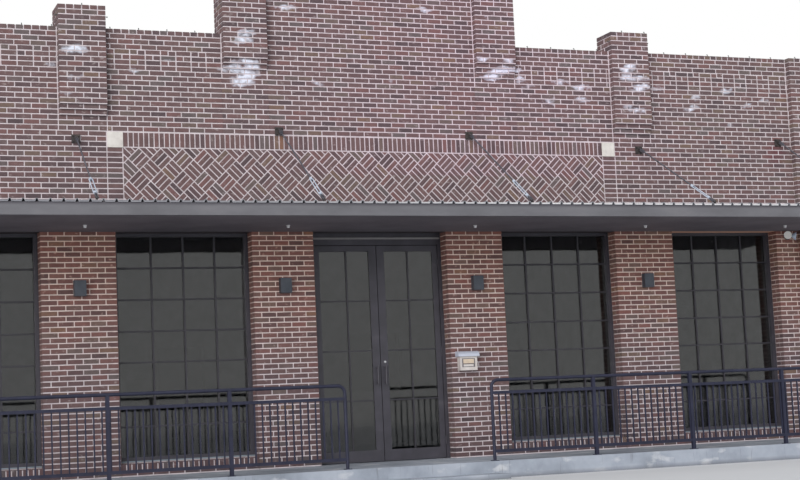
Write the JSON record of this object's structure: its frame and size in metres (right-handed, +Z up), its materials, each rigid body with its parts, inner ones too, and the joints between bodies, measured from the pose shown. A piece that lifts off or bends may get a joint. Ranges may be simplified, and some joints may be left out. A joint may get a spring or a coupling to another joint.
{
  "type": "town hall building",
  "caption": "Single-storey brick town hall with a stepped, pilastered front, a steel canopy on tie rods, storefront windows, a pair of glazed doors and a railed concrete terrace.",
  "frame": {"origin": "on the ground, on the centre line of the front, in the plane of the front brickwork", "axes": "+X along the front to the right as seen from the street, +Y into the building, +Z up"},
  "size_m": [14.731, 14.28, 6.9153],
  "materials": {
    "brickwork": "fired clay facing brick with raked pale mortar joints",
    "cast_stone": "smooth pale cast stone",
    "concrete": "broom-finished concrete",
    "roofing": "mineral-surfaced roofing sheet",
    "bronze_paint": "dark bronze-grey satin paint",
    "window_glass": "clear glass, dark room behind",
    "canopy_paint": "mid-grey weathered paint",
    "soffit_paint": "dark paint",
    "railing_paint": "blue-black gloss paint",
    "galvanised": "weathered galvanised steel",
    "light_metal": "pale satin enamel"
  },
  "bodies": {
    "building": {"party_wall_left": "brickwork", "party_wall_right": "brickwork", "rear_wall": "brickwork", "upper_wall": "brickwork", "stepped_parapet": "brickwork", "end_pier_left": "brickwork", "end_pier_right": "brickwork", "outer_pier_left": "brickwork", "outer_pier_right": "brickwork", "inner_pier_left": "brickwork", "inner_pier_right": "brickwork", "pilasters": "brickwork", "window_curbs": "brickwork", "panel_blocks": "cast_stone", "terrace": "concrete", "entry_step": "concrete", "floor_slab": "concrete", "roof_slab": "roofing", "window_frames": "bronze_paint", "door_frame": "bronze_paint", "wall_lights": "bronze_paint", "rear_window_frames": "bronze_paint", "rear_door": "bronze_paint", "window_glass": "window_glass", "rear_glass": "window_glass", "canopy_fascia": "canopy_paint", "rod_brackets": "canopy_paint", "rod_pins": "canopy_paint", "tie_rods": "canopy_paint", "canopy_ledger": "soffit_paint", "canopy_outriggers": "soffit_paint", "canopy_soffit": "soffit_paint", "canopy_deck": "galvanised", "turnbuckles": "galvanised", "railing_left": "railing_paint", "railing_right": "railing_paint", "drop_box": "light_metal", "security_light": "light_metal"},
    "left_leaf": {"door_leaf_left": "bronze_paint", "door_glass_left": "window_glass", "door_pull_left": "bronze_paint"},
    "right_leaf": {"door_leaf_right": "bronze_paint", "door_glass_right": "window_glass", "door_pull_right": "bronze_paint"}
  },
  "joints": [
    {"name": "left_door_hinge", "type": "hinge", "parent": "building", "child": "left_leaf", "pos_m": [-0.908, 0.195, 0.219], "axis": [0, 0, -1], "range_deg": [0, 90]},
    {"name": "right_door_hinge", "type": "hinge", "parent": "building", "child": "right_leaf", "pos_m": [0.908, 0.195, 0.219], "axis": [0, 0, 1], "range_deg": [0, 90]}
  ]
}
